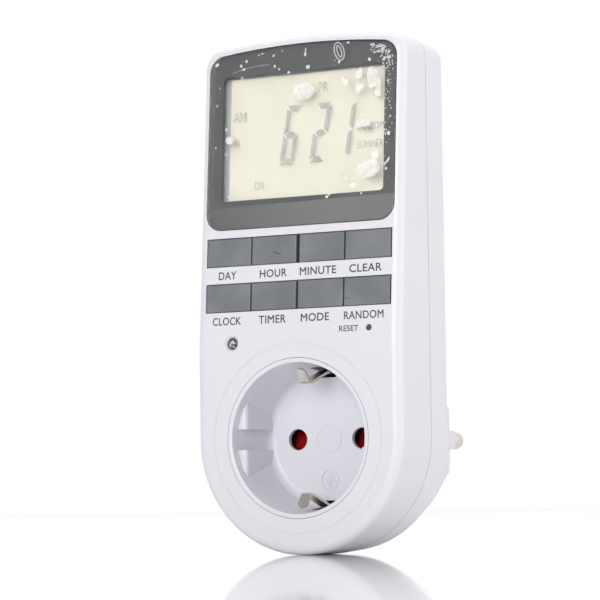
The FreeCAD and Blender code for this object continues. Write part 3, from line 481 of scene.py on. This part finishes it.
def arc_through(start, middle, end, steps=8):
    """Points along a parabola through three points."""
    pull = [2 * m - (a + b) / 2 for a, m, b in zip(start, middle, end)]
    made = []
    for i in range(steps + 1):
        t = i / steps
        near, turn, far = (1 - t) ** 2, 2 * t * (1 - t), t * t
        made.append([near * a + turn * p + far * b for a, p, b in zip(start, pull, end)])
    return made


def word(text, left, right, low, high, front, back, thicken, spacing):
    """Mesh of a word that fills the given box on the face, with its strokes thickened."""
    curve = bpy.data.curves.new("lettering", "FONT")
    curve.body = text
    curve.extrude = 0.5
    curve.bevel_depth = thicken
    curve.bevel_resolution = 0
    curve.space_character = spacing
    curve.resolution_u = 4
    holder = bpy.data.objects.new("lettering", curve)
    scene.collection.objects.link(holder)
    bpy.context.view_layer.update()
    mesh = bpy.data.meshes.new_from_object(holder.evaluated_get(bpy.context.evaluated_depsgraph_get()))
    bpy.data.objects.remove(holder)
    xs = [v.co.x for v in mesh.vertices]
    ys = [v.co.y for v in mesh.vertices]
    first, foot = min(xs), min(ys)
    scale_x = (right - left) / (max(xs) - first)
    scale_z = (high - low) / (max(ys) - foot)
    for v in mesh.vertices:
        depth = front if v.co.z > 0 else back
        v.co = FACE @ Vector((left + (v.co.x - first) * scale_x, depth, low + (v.co.y - foot) * scale_z))
    return mesh


# ---------------------------------------------------------------- printed labels

LABEL_THICKEN = 0.014
LABEL_SPACING = 1.06

# Word, left and right end, middle height and letter height
LABELS = {
    "label_day": ("DAY", -23.6, -18.2, 42.95, 2.1),
    "label_hour": ("HOUR", -11.2, -3.1, 42.95, 2.1),
    "label_minute": ("MINUTE", 0.7, 11.4, 42.95, 2.1),
    "label_clear": ("CLEAR", 15.2, 24.6, 42.95, 2.1),
    "label_clock": ("CLOCK", -25.1, -16.5, 30.9, 2.1),
    "label_timer": ("TIMER", -11.2, -3.1, 30.9, 2.1),
    "label_mode": ("MODE", 1.3, 9.6, 30.9, 2.1),
    "label_random": ("RANDOM", 13.9, 25.3, 30.9, 2.1),
    "label_reset": ("RESET", 12.6, 18.1, 27.55, 1.55),
}
ink = label_ink()
for name, (text, left, right, middle, tall) in LABELS.items():
    low, high = middle - tall / 2, middle + tall / 2
    mesh = word(text, left, right, low, high, *PRINT_DEPTH, LABEL_THICKEN, LABEL_SPACING)
    piece(name, mesh, ink)


# ---------------------------------------------------------------- scratches on the keys

SCRATCH_DEPTH = (0.035, 0.06)  # a hair in front of and behind the keys' tops

# Start, middle and end of each curved scratch, and its width
KEY_SCRATCHES = {
    "key_hour": ((-7.54, 48.68), (-6.21, 48.11), (-4.89, 47.87), 0.24),
    "key_random": ((13.95, 35.66), (14.57, 35.38), (15.41, 35.28), 0.18),
}
scratch_mark = moulded("scratch_mark", (0.030, 0.034, 0.038), (0.05, 0.055, 0.06), (0.4, 0.6))
for key, (start, middle, end, width) in KEY_SCRATCHES.items():
    bm = bmesh.new()
    add_band(bm, arc_through(start, middle, end), width, *SCRATCH_DEPTH)
    piece(f"{key}_scratch", to_mesh(bm, f"{key}_scratch"), scratch_mark, f"{key}_body")


# ---------------------------------------------------------------- display

DIGIT_W = 4.3
DIGIT_H = 15.7
BAR_W = 1.3  # of the upright bars
BAR_H = 1.65  # of the level bars
POINT = 0.45 * BAR_W  # how far the middle bar's pointed ends lie from the digit's sides
SLANT = math.tan(math.radians(8.0))
GAP = 0.14


def digit(bars, x, low):
    """Outlines of the named bars of a slanted seven-segment digit whose foot starts at x."""
    half, mid = BAR_H / 2, DIGIT_H / 2
    left, right = BAR_W + GAP, DIGIT_W - BAR_W - GAP  # inner ends of the level bars
    upright = [(0, half), (0, mid - GAP), (GAP, mid - GAP), (BAR_W, mid - half - GAP), (BAR_W, BAR_H + GAP)]
    bottom = [(GAP, 0), (DIGIT_W - GAP, 0), (right, BAR_H), (left, BAR_H)]
    above = [(POINT, mid), (left, mid + half), (right, mid + half)]
    below = [(DIGIT_W - POINT, mid), (right, mid - half), (left, mid - half)]
    shapes = {
        "bottom": bottom,
        "top": [(across, DIGIT_H - up) for across, up in bottom],
        "middle": above + below,
        "low_left": upright,
        "low_right": [(DIGIT_W - across, up) for across, up in upright],
        "high_left": [(across, DIGIT_H - up) for across, up in upright],
        "high_right": [(DIGIT_W - across, DIGIT_H - up) for across, up in upright],
    }
    return [[(x + across + up * SLANT, low + up) for across, up in shapes[bar]] for bar in bars]


# Bars, left end and foot of each digit on show
DIGITS = (
    (("top", "high_left", "middle", "low_left", "low_right", "bottom"), -7.4, 71.7),
    (("top", "high_right", "middle", "low_left", "bottom"), 1.5, 71.7),
    (("high_right", "low_right"), 8.9, 71.9),
)
segment_print = see_through("segment_print", (0.26, 0.28, 0.33), 0.21, 0.26, 500.0, 0.5, 2e-6)
bm = bmesh.new()
for bars, left, foot in DIGITS:
    for outline in digit(bars, left, foot):
        add_plate(bm, outline, *SEGMENT_DEPTH)
piece("display_digits", to_mesh(bm, "display_digits"), segment_print)

INDICATOR_THICKEN = 0.004
INDICATOR_SPACING = 1.05

# Word, left and right end, foot and top
INDICATORS = (
    ("AM", -21.6, -17.7, 84.2, 86.9),
    ("FR", 4.0, 6.9, 90.2, 92.9),
    ("ON", -14.7, -12.0, 65.6, 67.9),
    ("RANDOM", 15.6, 23.3, 79.2, 81.2),
    ("SUMMER", 15.6, 23.3, 74.5, 76.5),
)
bm = bmesh.new()
for text, left, right, low, high in INDICATORS:
    bm.from_mesh(word(text, left, right, low, high, *SEGMENT_DEPTH, INDICATOR_THICKEN, INDICATOR_SPACING))
piece("display_words", to_mesh(bm, "display_words"), segment_print)


# ---------------------------------------------------------------- marks in the film

# Middle, width, height and turn of the blisters that stand apart
BLISTERS = (
    (-25.7, 99.7, 1.2, 0.9, 20),
    (-18.3, 98.8, 0.8, 0.9, 0),
    (-17.5, 97.8, 0.9, 0.7, 30),
    (-16.7, 99.9, 0.7, 0.9, 0),
    (-18.0, 95.6, 0.8, 0.7, 0),
    (-13.0, 101.2, 0.6, 0.35, 0),
    (-11.9, 101.5, 0.9, 0.35, 10),
    (-8.5, 100.7, 0.5, 0.9, -25),
    (-5.9, 101.7, 0.45, 0.3, 0),
    (-8.1, 97.8, 0.7, 0.8, 0),
    (-6.7, 96.9, 0.55, 0.6, 0),
    (-3.8, 95.8, 0.9, 0.8, 0),
    (1.0, 100.2, 0.75, 1.2, 0),
    (1.1, 101.3, 0.3, 1.4, -4),
    (1.9, 96.7, 1.2, 1.1, 0),
    (11.1, 97.2, 0.7, 0.8, 0),
    (9.9, 97.7, 0.25, 0.3, 0),
    (13.7, 102.1, 0.8, 0.6, 0),
    (20.0, 97.1, 0.8, 1.0, 30),
    (-22.4, 82.0, 0.7, 0.9, 0),
    (-21.3, 79.0, 2.6, 2.0, -25),
    (-22.4, 75.3, 0.6, 0.7, 0),
    (-25.5, 77.3, 0.5, 0.6, 0),
    (-25.4, 88.6, 0.5, 0.7, 0),
    (-24.7, 93.3, 0.35, 0.4, 0),
    (-21.0, 63.9, 0.8, 0.8, 0),
    (8.3, 62.0, 0.9, 0.8, 0),
    (9.0, 62.5, 0.6, 0.7, 0),
    (18.3, 62.2, 0.45, 0.5, 0),
    (25.3, 68.2, 0.7, 0.9, 0),
    (25.9, 77.3, 0.8, 1.2, 10),
)
blister_skin = see_through("blister_skin", (0.86, 0.86, 0.88), 0.55, 0.85, 900.0)
bm = bmesh.new()
for x, z, width, tall, turn in BLISTERS:
    add_blister(bm, x, z, width, tall, turn)
piece("film_blisters", to_mesh(bm, "film_blisters"), blister_skin)


# The part of the film that flecks keep to
FILM_X = (-24.6, 27.0)
FILM_LOW = 62.0
FILM_TOP = 102.2
FILM_TOP_R = 205.0  # of its curved upper edge
FILM_CORNER_X = 23.6  # where its upper corners begin
FILM_CORNER_FALL = 0.75


def on_film(x, z):
    """Whether a point lies on the film, clear of its rounded edge."""
    top = FILM_TOP - x * x / (2 * FILM_TOP_R) - max(0.0, abs(x) - FILM_CORNER_X) * FILM_CORNER_FALL
    return FILM_X[0] < x < FILM_X[1] and FILM_LOW < z < top


# Fine flecks: streaks that fan out from the upper right corner, round ones down the right-hand border, and a
# few scattered over the rest
FLECK_RISE = 0.03
STREAKS = 210
CORNER = (26.6, 101.6)
FAN = (178, 272)  # bearings of the streaks, in degrees
FAN_REACH = (0.5, 6.0)
BORDER_FLECKS = 62
BORDER_X = (24.4, 26.9)
BORDER_LOW = 62.5
BORDER_RUN = 33
STRAY_FLECKS = 26
STRAY_X = (-24.0, 24.0)
STRAY_Z = (62.5, 102.0)
rng = random.Random(21)
bm = bmesh.new()
for _ in range(STREAKS):
    bearing = rng.uniform(math.radians(FAN[0]), math.radians(FAN[1]))
    reach = FAN_REACH[0] + FAN_REACH[1] * rng.random() ** 1.6
    x, z = CORNER[0] + reach * math.cos(bearing), CORNER[1] + reach * math.sin(bearing)
    size = rng.uniform(0.12, 0.32)
    if on_film(x, z):
        add_blister(bm, x, z, size * rng.uniform(1.5, 4.0), size, math.degrees(bearing), 0.3, FLECK_RISE)
for _ in range(BORDER_FLECKS):
    x, z = rng.uniform(*BORDER_X), BORDER_LOW + BORDER_RUN * rng.random() ** 0.6
    size = rng.uniform(0.12, 0.36)
    if on_film(x, z):
        add_blister(bm, x, z, size, size * rng.uniform(0.9, 2.0), rng.uniform(-40, 40), 0.3, FLECK_RISE)
for _ in range(STRAY_FLECKS):
    x, z = rng.uniform(*STRAY_X), rng.uniform(*STRAY_Z)
    size = rng.uniform(0.1, 0.22)
    if on_film(x, z):
        add_blister(bm, x, z, size, size, 0, 0.2, FLECK_RISE)
piece("film_flecks", to_mesh(bm, "film_flecks"), blister_skin)

# Broad pale patches where the film has lifted over the display: middle, width, height, turn and unevenness
PATCH_RISE = 0.05
PATCHES = (
    (0.9, 90.4, 6.2, 4.6, 0, 0.12),
    (21.6, 92.0, 3.6, 6.5, 20, 0.5),
    (17.0, 93.6, 2.4, 2.4, 0, 0.6),
    (13.0, 92.0, 1.6, 2.6, 30, 0.5),
    (17.3, 90.0, 2.0, 3.0, -20, 0.6),
    (22.6, 88.3, 2.2, 2.6, 0, 0.5),
    (18.6, 80.4, 4.4, 2.0, 10, 0.5),
    (20.3, 68.5, 6.4, 4.6, 0, 0.3),
    (15.8, 64.5, 1.4, 1.2, 0, 0.5),
    (13.5, 66.8, 1.2, 1.6, 0, 0.5),
    (22.0, 72.0, 1.8, 2.2, 0, 0.5),
)
patch_skin = see_through("patch_skin", (0.98, 0.98, 0.95), 0.16, 0.42, 260.0, 0.5, 2e-6)
bm = bmesh.new()
for x, z, width, tall, turn, rough in PATCHES:
    add_blister(bm, x, z, width, tall, turn, rough, PATCH_RISE)
piece("film_patches", to_mesh(bm, "film_patches"), patch_skin)

# A fold at the top, which shows as two loops, one inside the other
FOLD = (11.1, 100.0)
FOLD_LOOPS = ((2.7, 5.0), (1.1, 3.3))
FOLD_TURN = 20
CREASE_DEPTH = (FILM_FRONT - 0.05, FILM_FRONT + SUNK)
fold_skin = see_through("fold_skin", (0.8, 0.8, 0.82), 0.45, 0.65, 700.0)
bm = bmesh.new()
for width, tall in FOLD_LOOPS:
    add_band(bm, oval(*FOLD, width, tall, FOLD_TURN), 0.3, *CREASE_DEPTH, closed=True)
piece("film_fold", to_mesh(bm, "film_fold"), fold_skin)

# A curled crease low at the right, most of a quarter of an oval, and a bowed hairline high at the left
CURL = (24.3, 71.4)
CURL_R = (1.9, 2.0)
HAIRLINE = (-21.1, 96.9)
HAIRLINE_RUN = 11.6
HAIRLINE_RISE = 1.5
HAIRLINE_BOW = 0.5
curl = []
for bearing in (0.0, 0.35, 0.7, 1.05, 1.4):
    curl.append((CURL[0] + CURL_R[0] * math.sin(bearing), CURL[1] - CURL_R[1] * math.cos(bearing)))
hairline = []
for t in (0, 0.2, 0.4, 0.6, 0.8, 1):
    rise = HAIRLINE_RISE * t + HAIRLINE_BOW * math.sin(math.pi * t)
    hairline.append((HAIRLINE[0] + HAIRLINE_RUN * t, HAIRLINE[1] + rise))
bm = bmesh.new()
add_band(bm, curl, 0.55, *CREASE_DEPTH)
add_band(bm, hairline, 0.09, FILM_FRONT - 0.01, FILM_FRONT + SUNK)
piece("film_hairlines", to_mesh(bm, "film_hairlines"), blister_skin)


# ---------------------------------------------------------------- lamp

LED_X = -19.39
LED_Z = 25.06
CUP_Z = LED_Z - 0.15  # the cup inside sits a little low
CUP_PROFILE = ((0.55, 3.6), (0.85, 2.45), (0.95, 2.4), (0.95, 3.0), (0.6, 4.2), (0.5, 5.0))
POST_X = (LED_X + 0.55, LED_X + 1.05)
POST_HALF = 0.9
POST_DEPTH = (2.5, 5.0)
DIE_WIDTH = 0.26
DIE_DEPTH = (3.3, 3.55)

# The metal frame in the lamp: a cup that the die sits in, turned from its radii and depths, and a flat post
bm = bmesh.new()
layers = []
for radius, depth in CUP_PROFILE:
    layers.append([(x, depth, z) for x, z in oval(LED_X, CUP_Z, 2 * radius, 2 * radius, points=32)])
add_layers(bm, layers)
near, far = POST_X
low, high = LED_Z - POST_HALF, LED_Z + POST_HALF
add_plate(bm, [(near, low), (far, low), (far, high), (near, high)], *POST_DEPTH)
silver = metal("lamp_silver", (0.88, 0.88, 0.86), (0.45, 0.45, 0.45), (0.08, 0.22), stretch=(1, 1, 0.2))
piece("led_frame", to_mesh(bm, "led_frame"), silver)

bm = bmesh.new()
add_plate(bm, oval(LED_X, CUP_Z, DIE_WIDTH, DIE_WIDTH, turn=45, points=4), *DIE_DEPTH)
piece("led_die", to_mesh(bm, "led_die"), FINISHES["black_epoxy"])


# ---------------------------------------------------------------- table, light and camera

TABLE_HALF = 3.0
bm = bmesh.new()
bmesh.ops.create_grid(bm, x_segments=24, y_segments=24, size=TABLE_HALF)
for v in bm.verts:
    v.co.z = cad_box[0].z
table = bpy.data.objects.new("table", to_mesh(bm, "table"))
table.data.materials.append(table_top())
scene.collection.objects.link(table)

# White backdrop all round to the eye. As light, it is strong behind the object and weaker in front of it.
WHITE = (1.0, 1.0, 1.0, 1.0)
LIGHT_FADE = {"From Min": -0.25, "From Max": 0.35, "To Min": 0.34, "To Max": 1.05}
world = bpy.data.worlds.new("studio")
world.use_nodes = True
tree = world.node_tree
direction = tree.nodes.new("ShaderNodeTexCoord").outputs["Generated"]
parts = tree.nodes.new("ShaderNodeSeparateXYZ")
tree.links.new(direction, parts.inputs[0])
fade = tree.nodes.new("ShaderNodeMapRange")
for name, value in LIGHT_FADE.items():
    fade.inputs[name].default_value = value
tree.links.new(parts.outputs["Y"], fade.inputs["Value"])
room = tree.nodes["Background"]
tree.links.new(fade.outputs["Result"], room.inputs["Strength"])
room.inputs["Color"].default_value = WHITE
backdrop = tree.nodes.new("ShaderNodeBackground")
backdrop.inputs["Color"].default_value = WHITE
choice = tree.nodes.new("ShaderNodeMixShader")
tree.links.new(tree.nodes.new("ShaderNodeLightPath").outputs["Is Camera Ray"], choice.inputs[0])
tree.links.new(room.outputs[0], choice.inputs[1])
tree.links.new(backdrop.outputs[0], choice.inputs[2])
tree.links.new(choice.outputs[0], tree.nodes["World Output"].inputs["Surface"])
scene.world = world


LIT_POINT = Vector((0, -0.03, 0.04))


def softbox(name, place, size, power):
    """Square area light aimed at the middle of the object."""
    lamp = bpy.data.lights.new(name, "AREA")
    lamp.size = size
    lamp.energy = power
    holder = bpy.data.objects.new(name, lamp)
    holder.location = place
    holder.rotation_euler = (LIT_POINT - Vector(place)).to_track_quat("-Z", "Y").to_euler()
    scene.collection.objects.link(holder)


softbox("front_light", (0.15, -1.37, 0.30), 0.7, 10.6)
softbox("side_light", (1.2, 0.05, 0.30), 0.8, 4.2)
softbox("top_light", (-0.1, 0.1, 1.25), 1.0, 6.2)

# The camera looks up a little at the socket's mouth, from the right, and is aimed at a point above it
DISTANCE = 0.69528
YAW, PITCH, ROLL = (math.radians(angle) for angle in (29.28, -1.37, -0.768))
AIM = Vector((0.00142, 0, 0.0354))
LENS_LENGTH = 162.45
mouth = Vector((0, FRONT_Y, 0))
side = Vector((math.sin(YAW) * math.cos(PITCH), -math.cos(YAW) * math.cos(PITCH), math.sin(PITCH)))
eye = mouth + DISTANCE * side
forward = (mouth + AIM - eye).normalized()
level = forward.cross(Vector((0, 0, 1))).normalized()
upright = level.cross(forward)
right = math.cos(ROLL) * level + math.sin(ROLL) * upright
up = math.cos(ROLL) * upright - math.sin(ROLL) * level
lens = bpy.data.cameras.new("camera")
lens.lens = LENS_LENGTH
lens.sensor_width = 36.0
camera = bpy.data.objects.new("camera", lens)
camera.matrix_world = Matrix.Translation(eye) @ Matrix((right, up, -forward)).transposed().to_4x4()
scene.collection.objects.link(camera)
scene.camera = camera
scene.view_settings.view_transform = "Standard"

# Light has to pass the film, the lens and both glasses, and come back
scene.cycles.max_bounces = 24
scene.cycles.transmission_bounces = 20
scene.cycles.transparent_max_bounces = 24
